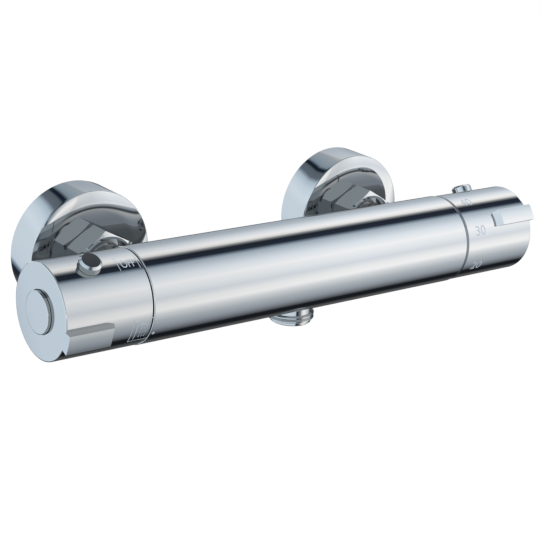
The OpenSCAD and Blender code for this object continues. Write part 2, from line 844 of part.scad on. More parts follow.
// Grip lug on a handle, with its sides drawn in towards its top and its inner end cut on a slant
module grip_lug(side, angle, span, len, end) {
    top_r = handle_r + lug_rise;
    root_r = handle_r - handle_wall / 2;
    half = span / 2;
    draw_in = half * lug_draw_share;
    middle = end_angle(side, angle);
    foot_r_at = handle_r * cos(half);
    reach = top_r - foot_r_at + cut;
    difference() {
        translate([0, 0, end - len]) linear_extrude(len) intersection() {
            difference() {
                circle(r = top_r);
                circle(r = root_r);
            }
            polygon([
                [0, 0],
                root_r * [cos(middle - half), sin(middle - half)],
                2 * top_r * [cos(middle - half + 2 * draw_in), sin(middle - half + 2 * draw_in)],
                2 * top_r * [cos(middle + half - 2 * draw_in), sin(middle + half - 2 * draw_in)],
                root_r * [cos(middle + half), sin(middle + half)]
            ]);
        }
        rotate([0, 0, middle]) translate([foot_r_at, 0, end - len]) rotate([90, 0, 0])
            linear_extrude(2 * top_r, center = true)
            polygon([[0, -cut], [reach, -cut], [reach, reach * tan(lug_slant)], [0, 0]]);
    }
}

// Handle: a hollow cup with a splined hub, a stop rib, a seat for the button's spring and a cap recess
module handle(side, len, lug_angle, lug_span, lug_len, button_angle, rib_angle) {
    end = seam_gap + len;
    floor_at = end - handle_end_wall;
    web_from = web_face(len) - web_t;
    rib_at = end_angle(side, rib_angle);
    color(chrome) at_end(side) difference() {
        union() {
            difference() {
                union() {
                    rotate_extrude() polygon(concat(
                        [[0, seam_gap]],
                        edge_points([handle_r - rim_edge, seam_gap + rim_edge], rim_edge, -90, 0),
                        edge_points([handle_r - handle_edge, end - handle_edge], handle_edge, 0, 90),
                        [[0, end]]
                    ));
                    grip_lug(side, lug_angle, lug_span, lug_len, end);
                }
                rod(handle_bore_r, seam_gap - cut, floor_at);
            }
            rod(hub_r, hub_from, floor_at + seat_fit);
            translate([0, 0, seam_gap + pass_gap]) linear_extrude(stop_t)
                ring_part(handle_bore_r + handle_wall / 2, rib_in_r,
                          rib_at - rib_span / 2, rib_at + rib_span / 2);
            radial(side, button_angle, end - button_from_end) rod(button_pad_r, hub_r / 2, button_pad_top);
        }
        translate([0, 0, hub_from - cut]) linear_extrude(web_from - hub_from + cut)
            spline_outline(spline_d + 2 * socket_gap);
        rod(screw_r + pass_gap, web_from - cut, end);
        rod(cap_well_r, web_face(len), end + cut);
        rod(cap_d / 2 + 2 * pass_gap, end - cap_recess, end + cut);
        radial(side, button_angle, end - button_from_end)
            rod(button_r + pass_gap, handle_bore_r - handle_wall, handle_r + cut);
    }
}

// Socket-head screw that holds a handle on its spindle
module handle_screw(side, len) {
    head_from = web_face(len) + seat_fit;
    color(steel) at_end(side) difference() {
        union() {
            rod(screw_r - seat_fit, head_from - screw_reach - web_t, head_from + seat_fit);
            rod(screw_head_r, head_from, head_from + screw_head_t);
        }
        hexagon(screw_slot_af, head_from + screw_head_t - screw_slot_depth, head_from + screw_head_t + cut);
    }
}

// Round cap pushed into the handle's end face over the screw
module end_cap(side, len) {
    end = seam_gap + len;
    r = cap_d / 2;
    color(chrome) at_end(side) rotate_extrude() polygon(concat(
        [[0, end - cap_recess - cap_stem_len], [cap_well_r - seat_fit, end - cap_recess - cap_stem_len],
         [cap_well_r - seat_fit, end - cap_recess + seat_fit], [r, end - cap_recess + seat_fit]],
        edge_points([r - cap_edge, end + cap_rise - cap_edge], cap_edge, 0, 90),
        [[0, end + cap_rise]]
    ));
}

// Press button with a flange inside the handle's wall and a stem for its spring
module press_button(side, len, angle) {
    stem_foot = button_flange_foot - button_travel / 2;
    color(chrome) at_end(side) radial(side, angle, seam_gap + len - button_from_end) {
        rotate_extrude() polygon([
            [0, stem_foot], [button_stem_r, stem_foot],
            [button_stem_r, button_flange_foot], [button_flange_r, button_flange_foot],
            [button_flange_r, button_flange_top], [button_r, button_flange_top],
            [button_r, button_top - button_chamfer], [button_r - button_chamfer, button_top], [0, button_top]
        ]);
    }
}

module button_spring(side, len, angle) {
    color(steel) at_end(side) radial(side, angle, seam_gap + len - button_from_end)
        coil(button_spring_r, small_wire, button_pad_top + seat_fit, button_flange_foot - seat_fit,
             small_turns);
}

// Sleeve with a ring of windows at each water ring, a guide web at its foot and a hexagon socket at its head
module thermo_cartridge_housing() {
    color(brass) at_end(cold) difference() {
        union() {
            rod(thermo_housing_r, thermo_from, -retainer_depth + seat_fit);
            cartridge_head();
        }
        rod(thermo_chamber_r, web_top, chamber_top);
        rotate([0, 0, plunger_turn]) hexagon(plunger_socket_af, chamber_top - cut, socket_top);
        rod(spindle_bore_r, socket_top - cut, head_to + cut);
        rod(wax_body_r + pass_gap, thermo_from - cut, web_top + cut);
        for (k = [0:web_windows - 1])
            translate([0, 0, thermo_from - cut]) linear_extrude(thermo_web_t + 2 * cut)
                window_part(thermo_chamber_r - pass_gap, wax_body_r + web_rim, k, web_windows,
                            web_window_span);
        for (k = [0:ring_windows - 1], from = [hot_window_from, cold_window_from])
            translate([0, 0, from]) linear_extrude(window_w)
                window_part(thermo_housing_r + cut, thermo_chamber_r / 2, k, ring_windows, window_span);
        for (z = oring_places)
            tube(thermo_housing_r + cut, oring_groove_r, z - oring_groove_w / 2, z + oring_groove_w / 2);
    }
}

module thermo_orings() {
    color(rubber) at_end(cold) for (z = oring_places) o_ring(oring_mid_r, oring_section_r, z);
}

// Sliding sleeve that opens the hot windows as it closes the cold ones
module thermo_shuttle() {
    color(steel) at_end(cold) {
        tube(shuttle_r, shuttle_r - shuttle_wall, shuttle_from, shuttle_to);
        difference() {
            rod(shuttle_r - shuttle_wall / 2, shuttle_web_from, shuttle_web_to);
            rod(wax_body_r + seat_fit, shuttle_web_from - cut, shuttle_web_to + cut);
            for (k = [0:shuttle_holes - 1])
                rotate([0, 0, 360 * k / shuttle_holes]) translate([shuttle_r * shuttle_hole_at_share, 0, 0])
                    rod(shuttle_hole_r, shuttle_web_from - cut, shuttle_web_to + cut);
        }
    }
}

// Wax capsule with its flange and the piston that pushes on the plunger
module wax_element() {
    color(brass) at_end(cold) {
        rod(wax_body_r, wax_body_from, wax_flange_from + seat_fit);
        rod(wax_flange_r, wax_flange_from, wax_flange_to);
        rod(piston_r, wax_flange_to - seat_fit, plunger_from - seat_fit);
    }
}

module thermo_return_spring() {
    color(steel) at_end(cold)
        coil(return_spring_r, return_wire, web_top + seat_fit, shuttle_web_from - seat_fit, return_turns);
}

// Hexagonal nut that the spindle's screw moves in and out
module thermo_plunger() {
    color(brass) at_end(cold) rotate([0, 0, plunger_turn]) difference() {
        hexagon(plunger_af, plunger_from, plunger_to);
        rod(plunger_bore_r, plunger_from + plunger_floor, plunger_to + cut);
    }
}

// Temperature spindle: a screw at its inner end drives the plunger, behind a thrust collar
module thermo_spindle() {
    color(brass) at_end(cold) {
        spindle_shaft(collar_to - seat_fit, temp_handle_len);
        rod(collar_r, collar_from, collar_to);
        rod(screw_thread_r, screw_end, collar_from + seat_fit);
    }
}

module flow_fixed_disc() { ceramic_disc(fixed_disc_from); }
module flow_moving_disc() { ceramic_disc(moving_disc_from); }
module flow_spindle_orings() { spindle_orings(hot); }
module flow_retaining_nut() { retaining_nut(hot); }
module flow_stop_ring() { stop_ring(hot, flow_rib_angle, flow_travel); }
module flow_handle() {
    handle(hot, flow_handle_len, flow_lug_angle, flow_lug_span, flow_lug_len, flow_button_angle,
           flow_rib_angle);
}
module flow_handle_screw() { handle_screw(hot, flow_handle_len); }
module flow_end_cap() { end_cap(hot, flow_handle_len); }
module flow_button() { press_button(hot, flow_handle_len, flow_button_angle); }
module flow_button_spring() { button_spring(hot, flow_handle_len, flow_button_angle); }
module thermo_spindle_orings() { spindle_orings(cold); }
module thermo_retaining_nut() { retaining_nut(cold); }
module temp_stop_ring() { stop_ring(cold, temp_rib_angle, temp_travel); }
module temp_handle() {
    handle(cold, temp_handle_len, temp_lug_angle, temp_lug_span, temp_lug_len, temp_button_angle,
           temp_rib_angle);
}
module temp_handle_screw() { handle_screw(cold, temp_handle_len); }
module temp_end_cap() { end_cap(cold, temp_handle_len); }
module temp_button() { press_button(cold, temp_handle_len, temp_button_angle); }
module temp_button_spring() { button_spring(cold, temp_handle_len, temp_button_angle); }

valve_body();
outlet_nipple();
flow_cartridge_housing();
flow_seal();
flow_fixed_disc();
flow_moving_disc();
flow_spindle();
flow_spindle_orings();
flow_retaining_nut();
flow_stop_ring();
flow_handle();
flow_handle_screw();
flow_end_cap();
flow_button();
flow_button_spring();
thermo_cartridge_housing();
thermo_orings();
thermo_shuttle();
wax_element();
thermo_return_spring();
thermo_plunger();
thermo_spindle();
thermo_spindle_orings();
thermo_retaining_nut();
temp_stop_ring();
temp_handle();
temp_handle_screw();
temp_end_cap();
temp_button();
temp_button_spring();
escutcheon(hot);  // hot_escutcheon
grip_ring(hot);  // hot_grip_ring
eccentric_union(hot);  // hot_union
union_nut(hot);  // hot_union_nut
filter_washer(hot);  // hot_filter_washer
tail(hot);  // hot_tail
snap_ring(hot);  // hot_snap_ring
check_cage(hot);  // hot_check_cage
check_poppet(hot);  // hot_check_poppet
check_spring(hot);  // hot_check_spring
escutcheon(cold);  // cold_escutcheon
grip_ring(cold);  // cold_grip_ring
eccentric_union(cold);  // cold_union
union_nut(cold);  // cold_union_nut
filter_washer(cold);  // cold_filter_washer
tail(cold);  // cold_tail
snap_ring(cold);  // cold_snap_ring
check_cage(cold);  // cold_check_cage
check_poppet(cold);  // cold_check_poppet
check_spring(cold);  // cold_check_spring
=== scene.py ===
"""Chromed thermostatic shower valve: studio, finishes, trim and etched marks over the CAD solids."""

import math

import bmesh
import bpy
from bpy.props import FloatProperty, FloatVectorProperty, IntProperty, PointerProperty
from mathutils import Matrix, Vector


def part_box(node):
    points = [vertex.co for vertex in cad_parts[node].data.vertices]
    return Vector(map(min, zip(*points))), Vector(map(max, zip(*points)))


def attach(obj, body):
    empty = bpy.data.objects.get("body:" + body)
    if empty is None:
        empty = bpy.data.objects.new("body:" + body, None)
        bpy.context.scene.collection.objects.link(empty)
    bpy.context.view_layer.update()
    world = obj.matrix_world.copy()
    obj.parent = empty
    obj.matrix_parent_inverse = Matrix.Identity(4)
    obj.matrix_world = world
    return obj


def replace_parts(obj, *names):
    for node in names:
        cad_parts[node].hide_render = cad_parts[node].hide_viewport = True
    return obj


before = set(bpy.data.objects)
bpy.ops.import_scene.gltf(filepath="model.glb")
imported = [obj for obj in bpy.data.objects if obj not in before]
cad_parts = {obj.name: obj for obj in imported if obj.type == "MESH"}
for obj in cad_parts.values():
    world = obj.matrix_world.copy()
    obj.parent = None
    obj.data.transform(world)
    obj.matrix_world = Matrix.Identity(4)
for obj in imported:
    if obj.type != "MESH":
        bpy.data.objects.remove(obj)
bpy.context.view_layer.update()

bl_info = {
    "name": "Thermostatic Shower Valve",
    "version": (1, 0, 0),
    "blender": (4, 5, 0),
    "location": "View3D > Sidebar > Shower Valve",
    "description": "Dresses a chromed thermostatic bar valve with finishes, trim and etched marks",
    "category": "Object",
}

MM = 0.001

# Places that the pieces share with the solids, in metres
BODY_LOW, BODY_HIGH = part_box("valve_body")
BAR_R = (BODY_HIGH.z - BODY_LOW.z) / 2
BAR_Y = (BODY_LOW.y + BODY_HIGH.y) / 2
BAR_Z = (BODY_LOW.z + BODY_HIGH.z) / 2
BAR_CENTRE = Vector((0.0, BAR_Y, BAR_Z))
HANDLE_R = 0.0203
NIPPLE_LOW, NIPPLE_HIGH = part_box("outlet_nipple")
RIGHT, LEFT = Vector((1.0, 0.0, 0.0)), Vector((-1.0, 0.0, 0.0))
UP, DOWN = Vector((0.0, 0.0, 1.0)), Vector((0.0, 0.0, -1.0))
FROM_WALL = Vector((0.0, -1.0, 0.0))

# Points closer than these are one point
MERGE_DIST = 1e-6
MARK_MERGE_DIST = 1e-7

# Outlet: its bore, how deep it enters the bar, its edges and the run of its thread's ridge
BORE_R = 0.0065
OUTLET_SINK = 3.4 * MM
OUTLET_EDGE = 0.45 * MM
RIDGE_SINK = 0.02 * MM
RIDGE_START = 0.6 * MM
RIDGE_STOP = 0.9 * MM
RIDGE_CREST_SHARE = 0.11

# Rings at the seams
LIP_DEPTH = 0.9 * MM
LIP_REACH = 1.0 * MM
LIP_STEPS = 8
COLLAR_FIT = 0.1 * MM
COLLAR_DEPTH = 2.0 * MM
COLLAR_EDGE = 0.12 * MM

# Wall flanges: flat middle, fall of the crown to the rim, sheet, and the hub round the union's neck
FLANGE_FLAT_R = 21.0 * MM
FLANGE_FALL = 1.7 * MM
FLANGE_WALL = 1.2 * MM
NECK_HOLE_R = 12.8 * MM
HUB_LEN = 3.5 * MM
CROWN_STEPS = 14
RIM_STEPS = 4
RIM_SLACK = 0.02 * MM

# Height above the handle over which a press button's top slants
BUTTON_FOOT = 2.0 * MM

# Etched marks: how far they stand out, their thickness, and places along and round the bar
MARK_RISE = 0.00003
MARK_DEPTH = 0.00015
MARK_STRIP = 0.5 * MM
CAPITAL_SHARE = 0.72
LETTER_STEPS = 6
FINE_LINE = 0.8
WORD_NARROW = 0.66
WORD_X = -94.0 * MM
WORD_ANGLE = 62.0
TICK_ANGLE = 61.5
TICK_HALF_GAP = 4.6 * MM
TICK_SPAN = (-2.6 * MM, 4.6 * MM)
SIGN_X = -91.9 * MM
SIGN_ANGLE = -23.6
SIGN_HALF = (4.8 * MM, 5.8 * MM)
INDEX_X = -85.8 * MM
INDEX_ANGLE = -30.5
INDEX_R = 0.7 * MM
INDEX_STEPS = 32

# Pole, arm and head of the shower sign, from point to point, and its drops of water
SIGN_STROKES = (
    ((-2.8 * MM, -4.4 * MM), (-2.8 * MM, 3.0 * MM)),
    ((-2.8 * MM, 3.0 * MM), (-0.6 * MM, 4.3 * MM)),
    ((-1.2 * MM, 3.2 * MM), (2.4 * MM, 3.2 * MM)),
    ((-0.8 * MM, 3.9 * MM), (2.0 * MM, 3.9 * MM)),
)
DROP_PLACE = (-0.7 * MM, 2.2 * MM)
DROP_STEP = (1.3 * MM, 2.2 * MM)
DROP_LEN = 1.2 * MM
DROP_ROWS, DROP_COLUMNS = 3, 3

# Dial numbers: the number, its place along the bar in millimetres and its angle about the bar
DIAL_NUMBERS = (("20", 97.8, -28.3), ("30", 97.3, 23.1), ("40", 97.2, 69.0))

# Studio: floor, lamp and camera
FLOOR_HALF = 6.0
FLOOR_GREY = 0.9
FLOOR_GLOW = 1.03
FLOOR_GLOW_SHARE = 0.9
LAMP_SIZE = (1.2, 0.8)
LAMP_PLACE = (-0.3, -0.7, 1.1)
SENSOR_MM = 36.0
PICTURE_PX = 540.0
CLIP_NEAR, CLIP_FAR = 0.01, 50.0

# Noise factors that the finishes spread over their ranges
NOISE_SPAN = (0.3, 0.7)
TONE_SPAN = (0.35, 0.65)

# World: ranges of a mirrored ray's direction, and what is lost at the second and third reflection
SLANT_SPAN = (0.66, 0.85)
SLANT_SHIFT = (-0.042, 0.042)
SIDE_SPAN = (0.45, 0.31)
FADE_SPAN = (0.48, 0.64)
FADE_RANGE = (0.80, 1.0)
SECOND_REFLECTION, THIRD_REFLECTION = 1.5, 2.5
REFLECTION_LOSS = 0.5
THIRD_LOSS_SHARE = 0.6
RETURNED_COLOUR = (0.50, 0.57, 0.60, 1.0)
RETURNED_LEAST = 0.2

# Nodes that share each finish
CHROME_NODES = (
    "valve_body", "flow_handle", "flow_end_cap", "flow_button", "temp_handle", "temp_end_cap", "temp_button",
    "hot_escutcheon", "hot_union_nut", "hot_tail", "cold_escutcheon", "cold_union_nut", "cold_tail",
)
BRASS_NODES = (
    "flow_cartridge_housing", "flow_spindle", "flow_retaining_nut", "thermo_cartridge_housing",
    "thermo_plunger", "thermo_spindle", "thermo_retaining_nut",
)
THREADED_NODES = ("hot_union", "cold_union")
COPPER_NODES = ("wax_element",)
STEEL_NODES = (
    "flow_handle_screw", "flow_button_spring", "thermo_shuttle", "thermo_return_spring",
    "temp_handle_screw", "temp_button_spring", "hot_snap_ring", "hot_check_spring", "cold_snap_ring",
    "cold_check_spring",
)
RUBBER_NODES = (
    "flow_seal", "flow_spindle_orings", "thermo_orings", "thermo_spindle_orings", "hot_grip_ring",
    "hot_filter_washer", "cold_grip_ring", "cold_filter_washer",
)
CERAMIC_NODES = ("flow_fixed_disc", "flow_moving_disc")
WHITE_NODES = ("flow_stop_ring", "temp_stop_ring", "hot_check_cage", "cold_check_cage")
GREY_NODES = ("hot_check_poppet", "cold_check_poppet")


# Sizes and colours that a user would change

class StudioSettings(bpy.types.PropertyGroup):
    """Camera, floor and light"""
    camera_place: FloatVectorProperty(
        name="Camera place", description="Where the camera stands", subtype="TRANSLATION", unit="LENGTH",
        size=3, default=(-0.39903, -0.54840, 0.21702))
    camera_turn: FloatVectorProperty(
        name="Camera turn", description="Axis and angle of the camera as one vector", size=3,
        default=(1.8456, -0.5754, 0.5037))
    focal_px: FloatProperty(
        name="Focal length", description="Focal length in pixels of a square 540 pixel picture",
        default=1481.2, min=200.0)
    floor_drop: FloatProperty(
        name="Floor drop", description="Height of the floor below the bar's axis", default=0.32,
        unit="LENGTH", min=0.05)
    lamp_power: FloatProperty(
        name="Lamp power", description="Power of the soft overhead lamp", default=6.0, min=0.0)
    room_light: FloatProperty(
        name="Room light", description="Strength of the even light round the object", default=0.85, min=0.0)


class ChromeSettings(bpy.types.PropertyGroup):
    """Polished plate"""
    colour: FloatVectorProperty(
        name="Chrome colour", description="Colour of the chrome plate", subtype="COLOR", size=3, min=0.0,
        max=1.0, default=(0.86, 0.872, 0.885))
    roughness: FloatProperty(
        name="Roughness", description="Roughness of the polished plate", default=0.018, min=0.0, max=1.0,
        subtype="FACTOR")
    haze: FloatProperty(
        name="Haze", description="How much the roughness wanders over the plate", default=0.02, min=0.0,
        max=0.3)


class ThreadSettings(bpy.types.PropertyGroup):
    """Pipe threads"""
    pitch: FloatProperty(
        name="Pitch", description="Distance between the thread's turns", default=1.814 * MM, unit="LENGTH",
        min=0.5 * MM)
    depth: FloatProperty(
        name="Depth", description="Depth of the thread below its crests", default=1.1 * MM, unit="LENGTH",
        min=0.1 * MM)
    steps: IntProperty(
        name="Steps", description="Steps of one turn", default=72, min=12)


class TrimSettings(bpy.types.PropertyGroup):
    """Rings at the seams, wall flanges and press buttons"""
    lip_radius: FloatProperty(
        name="Lip radius", description="Radius of the rolled lip at the flow handle's inner rim",
        default=0.5 * MM, unit="LENGTH", min=0.1 * MM, max=1.0 * MM)
    groove: FloatProperty(
        name="Groove", description="Gap between the lip and the bar's end face", default=0.35 * MM,
        unit="LENGTH", min=0.05 * MM)
    collar_width: FloatProperty(
        name="Collar width", description="Width of the satin collar from the bar's end face",
        default=1.7 * MM, unit="LENGTH", min=1.0 * MM)
    collar_rise: FloatProperty(
        name="Collar rise", description="Height of the satin collar above the handle", default=0.06 * MM,
        unit="LENGTH", min=0.02 * MM)
    rim_rounding: FloatProperty(
        name="Rim rounding", description="Rounding of the wall flanges' front rim", default=0.5 * MM,
        unit="LENGTH", min=0.1 * MM)
    turn_steps: IntProperty(
        name="Turn steps", description="Steps of one turn of the seams' rings and the wall flanges",
        default=160, min=24)
    button_slant: FloatProperty(
        name="Button slant", description="Angle of the buttons' tops towards the front", subtype="ANGLE",
        default=math.radians(6.0), min=0.0, max=math.radians(15.0))


class MarkingSettings(bpy.types.PropertyGroup):
    """Etched marks"""
    dial_height: FloatProperty(
        name="Dial numbers", description="Height of the dial numbers", default=4.9 * MM, unit="LENGTH",
        min=1.0 * MM)
    word_height: FloatProperty(
        name="Word height", description="Height of the word on the flow handle", default=4.2 * MM,
        unit="LENGTH", min=1.0 * MM)
    line: FloatProperty(
        name="Line", description="Width of the thin marking lines", default=0.32 * MM, unit="LENGTH",
        min=0.05 * MM)
    ink: FloatVectorProperty(
        name="Ink", description="Colour of the etched marks", subtype="COLOR", size=3, min=0.0, max=1.0,
        default=(0.56, 0.64, 0.73))


# Node and mesh helpers

def make_material(name):
    """New material with its node tree, its shader and its output."""
    material = bpy.data.materials.new(name)
    material.use_nodes = True
    nodes = material.node_tree.nodes
    return material, nodes, material.node_tree.links, nodes["Principled BSDF"]


def noise(nodes, links, scale, detail=4.0, stretch=(1.0, 1.0, 1.0)):
    """Noise over the object's own coordinates; gives its factor socket."""
    place = nodes.new("ShaderNodeTexCoord")
    mapping = nodes.new("ShaderNodeMapping")
    mapping.inputs["Scale"].default_value = stretch
    texture = nodes.new("ShaderNodeTexNoise")
    texture.inputs["Scale"].default_value = scale
    texture.inputs["Detail"].default_value = detail
    links.new(place.outputs["Object"], mapping.inputs["Vector"])
    links.new(mapping.outputs["Vector"], texture.inputs["Vector"])
    return texture.outputs["Fac"]


def map_range(nodes, links, source, span, reach=(0.0, 1.0)):
    """Map Range node that takes a socket's values in a span to a range."""
    node = nodes.new("ShaderNodeMapRange")
    node.inputs["From Min"].default_value, node.inputs["From Max"].default_value = span
    node.inputs["To Min"].default_value, node.inputs["To Max"].default_value = reach
    links.new(source, node.inputs["Value"])
    return node


def spread(nodes, links, source, low, high):
    """Spreads a noise factor over a range and gives the mapped socket."""
    return map_range(nodes, links, source, NOISE_SPAN, (low, high)).outputs["Result"]


def math_node(nodes, links, operation, a, b=None):
    """Math node on sockets or plain numbers; gives its value socket."""
    node = nodes.new("ShaderNodeMath")
    node.operation = operation
    for k, value in enumerate((a, b)):
        if value is None:
            continue
        if isinstance(value, (int, float)):
            node.inputs[k].default_value = value
        else:
            links.new(value, node.inputs[k])
    return node.outputs["Value"]


def bump(nodes, links, shader, source, strength, distance):
    """Fine relief on a shader from a height socket."""
    node = nodes.new("ShaderNodeBump")
    node.inputs["Strength"].default_value = strength
    node.inputs["Distance"].default_value = distance
    links.new(source, node.inputs["Height"])
    links.new(node.outputs["Normal"], shader.inputs["Normal"])


def two_tone(nodes, links, shader, source, low, high):
    """Mixes two colours by a factor socket into the base colour."""
    ramp = nodes.new("ShaderNodeValToRGB")
    for element, position, colour in zip(ramp.color_ramp.elements, TONE_SPAN, (low, high)):
        element.position = position
        element.color = (*colour, 1.0)
    links.new(source, ramp.inputs["Fac"])
    links.new(ramp.outputs["Color"], shader.inputs["Base Color"])


def paint(names, material):
    """Gives one finish to CAD nodes."""
    for name in names:
        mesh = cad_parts[name].data
        mesh.materials.clear()
        mesh.materials.append(material)


def new_piece(name, mesh_bm, material, body):
    """Object from a finished bmesh, with its place in its mesh, riding on a body."""
    mesh = bpy.data.meshes.new(name)
    mesh_bm.to_mesh(mesh)
    mesh_bm.free()
    mesh.materials.append(material)
    piece = bpy.data.objects.new(name, mesh)
    bpy.context.scene.collection.objects.link(piece)
    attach(piece, body)
    return piece


def chrome_piece(name, bm, body):
    """Chromed object from a finished bmesh, with the plate that the bar already has."""
    shade_smooth(bm)
    return new_piece(name, bm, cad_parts["valve_body"].data.materials[0], body)


def shade_smooth(bm, angle=35.0):
    """Smooth faces, with edges sharper than an angle kept sharp."""
    for face in bm.faces:
        face.smooth = True
    for edge in bm.edges:
        if len(edge.link_faces) == 2 and edge.calc_face_angle(0.0) > math.radians(angle):
            edge.smooth = False


# Finishes

def chrome_plate(settings):
    """Polished chrome: mirror-bright, with a faint haze and the slight waviness of a polished casting."""
    material, nodes, links, shader = make_material("polished_chrome")
    shader.inputs["Metallic"].default_value = 1.0
    shader.inputs["Base Color"].default_value = (*settings.colour, 1.0)
    haze = noise(nodes, links, 38.0, 5.0)
    links.new(spread(nodes, links, haze, settings.roughness, settings.roughness + settings.haze),
              shader.inputs["Roughness"])
    bump(nodes, links, shader, noise(nodes, links, 60.0, 2.0, (0.35, 1.0, 1.0)), 0.02, 0.0002)
    return material


def satin_chrome_and_seam_shade():
    """Turned ring with a satin face that the polisher doesn't reach; its dark plate is partly painted shade
    for the gap at the seam.
    """
    material, nodes, links, shader = make_material("satin_chrome_and_seam_shade")
    shader.inputs["Metallic"].default_value = 1.0
    # Dark base colour: partly the ring's own satin plate, partly painted shade of the gap at the seam
    shader.inputs["Base Color"].default_value = (0.30, 0.32, 0.35, 1.0)
    links.new(spread(nodes, links, noise(nodes, links, 300.0), 0.30, 0.42), shader.inputs["Roughness"])
    return material


def machined_brass():
    """Turned brass with fine tool marks and darker patches."""
    material, nodes, links, shader = make_material("machined_brass")
    shader.inputs["Metallic"].default_value = 1.0
    two_tone(nodes, links, shader, noise(nodes, links, 90.0), (0.60, 0.43, 0.19), (0.78, 0.60, 0.30))
    links.new(spread(nodes, links, noise(nodes, links, 260.0), 0.22, 0.38), shader.inputs["Roughness"])
    bump(nodes, links, shader, noise(nodes, links, 900.0, 3.0, (6.0, 1.0, 1.0)), 0.15, 0.0001)
    return material


def drawn_copper():
    """Copper capsule of the wax element."""
    material, nodes, links, shader = make_material("drawn_copper")
    shader.inputs["Metallic"].default_value = 1.0
    two_tone(nodes, links, shader, noise(nodes, links, 120.0), (0.62, 0.30, 0.18), (0.80, 0.42, 0.28))
    links.new(spread(nodes, links, noise(nodes, links, 200.0), 0.24, 0.4), shader.inputs["Roughness"])
    return material


def stainless_wire():
    """Stainless steel of springs, screws and rings."""
    material, nodes, links, shader = make_material("stainless_steel")
    shader.inputs["Metallic"].default_value = 1.0
    two_tone(nodes, links, shader, noise(nodes, links, 300.0), (0.50, 0.51, 0.52), (0.66, 0.67, 0.68))
    links.new(spread(nodes, links, noise(nodes, links, 500.0), 0.2, 0.34), shader.inputs["Roughness"])
    return material


def seal_rubber():
    """Matt black rubber with a dusty bloom."""
    material, nodes, links, shader = make_material("seal_rubber")
    two_tone(nodes, links, shader, noise(nodes, links, 160.0), (0.018, 0.018, 0.02), (0.035, 0.035, 0.038))
    links.new(spread(nodes, links, noise(nodes, links, 420.0), 0.6, 0.8), shader.inputs["Roughness"])
    bump(nodes, links, shader, noise(nodes, links, 1500.0), 0.3, 0.0001)
    return material


def lapped_ceramic():
    """Lapped alumina disc: pale, dense and finely speckled."""
    material, nodes, links, shader = make_material("lapped_ceramic")
    two_tone(nodes, links, shader, noise(nodes, links, 700.0), (0.80, 0.78, 0.73), (0.88, 0.86, 0.82))
    links.new(spread(nodes, links, noise(nodes, links, 300.0), 0.12, 0.22), shader.inputs["Roughness"])
    return material


def moulded_plastic(name, low, high):
    """Moulded plastic with a fine spark-eroded grain."""
    material, nodes, links, shader = make_material(name)
    two_tone(nodes, links, shader, noise(nodes, links, 90.0), low, high)
    links.new(spread(nodes, links, noise(nodes, links, 600.0), 0.38, 0.52), shader.inputs["Roughness"])
    bump(nodes, links, shader, noise(nodes, links, 2600.0), 0.2, 0.00005)
    return material


def threaded_brass(settings):
    """Turned brass whose wall end carries its pipe thread as relief along the pipe's length."""
    material, nodes, links, shader = make_material("threaded_brass")
    shader.inputs["Metallic"].default_value = 1.0
    two_tone(nodes, links, shader, noise(nodes, links, 90.0), (0.60, 0.43, 0.19), (0.78, 0.60, 0.30))
    links.new(spread(nodes, links, noise(nodes, links, 260.0), 0.22, 0.38), shader.inputs["Roughness"])
    place = nodes.new("ShaderNodeTexCoord")
    parts = nodes.new("ShaderNodeSeparateXYZ")
    links.new(place.outputs["Object"], parts.inputs["Vector"])
    wave = math_node(nodes, links, "PINGPONG", parts.outputs["Y"], settings.pitch / 2.0)
    behind = math_node(nodes, links, "GREATER_THAN", parts.outputs["Y"], 0.5 * MM)
    bump(nodes, links, shader, math_node(nodes, links, "MULTIPLY", wave, behind), 1.0, 1.0)
    return material


def etched_mark(settings):
    """Laser-etched mark: a frosted pale grey on the chrome."""
    material, nodes, links, shader = make_material("etched_mark")
    low = tuple(c * 0.92 for c in settings.ink)
    two_tone(nodes, links, shader, noise(nodes, links, 1800.0), low, tuple(settings.ink))
    shader.inputs["Metallic"].default_value = 0.3
    links.new(spread(nodes, links, noise(nodes, links, 2400.0), 0.45, 0.6), shader.inputs["Roughness"])
    return material


# Studio

def turn_share(nodes, links, up, across):
    """Angle from two parts of a direction, as a share of a turn that starts at -180 degrees."""
    angle = math_node(nodes, links, "ARCTAN2", up, across)
    return math_node(nodes, links, "ADD", math_node(nodes, links, "DIVIDE", angle, 2.0 * math.pi), 0.5)


def mixed_colour(nodes, links, factor, first):
    """Colour mix with its factor and its first colour linked."""
    node = nodes.new("ShaderNodeMix")
    node.data_type = "RGBA"
    links.new(factor, node.inputs["Factor"])
    links.new(first, node.inputs["A"])
    return node


def mixed_shader(nodes, links, factor, first, second):
    """Mix of two shader sockets; gives its shader socket."""
    node = nodes.new("ShaderNodeMixShader")
    links.new(factor, node.inputs["Fac"])
    links.new(first, node.inputs[1])
    links.new(second, node.inputs[2])
    return node.outputs["Shader"]


def ring_ramp(nodes, stops):
    """Ramp from given stops that goes once round an axis: degrees, then red, green and blue."""
    ramp = nodes.new("ShaderNodeValToRGB")
    elements = ramp.color_ramp.elements
    while len(elements) > 1:
        elements.remove(elements[-1])
    for k, (angle, colour) in enumerate(stops):
        place = (angle + 180.0) / 360.0
        element = elements[0] if k == 0 else elements.new(place)
        element.position = place
        element.color = (*colour, 1.0)
    return ramp


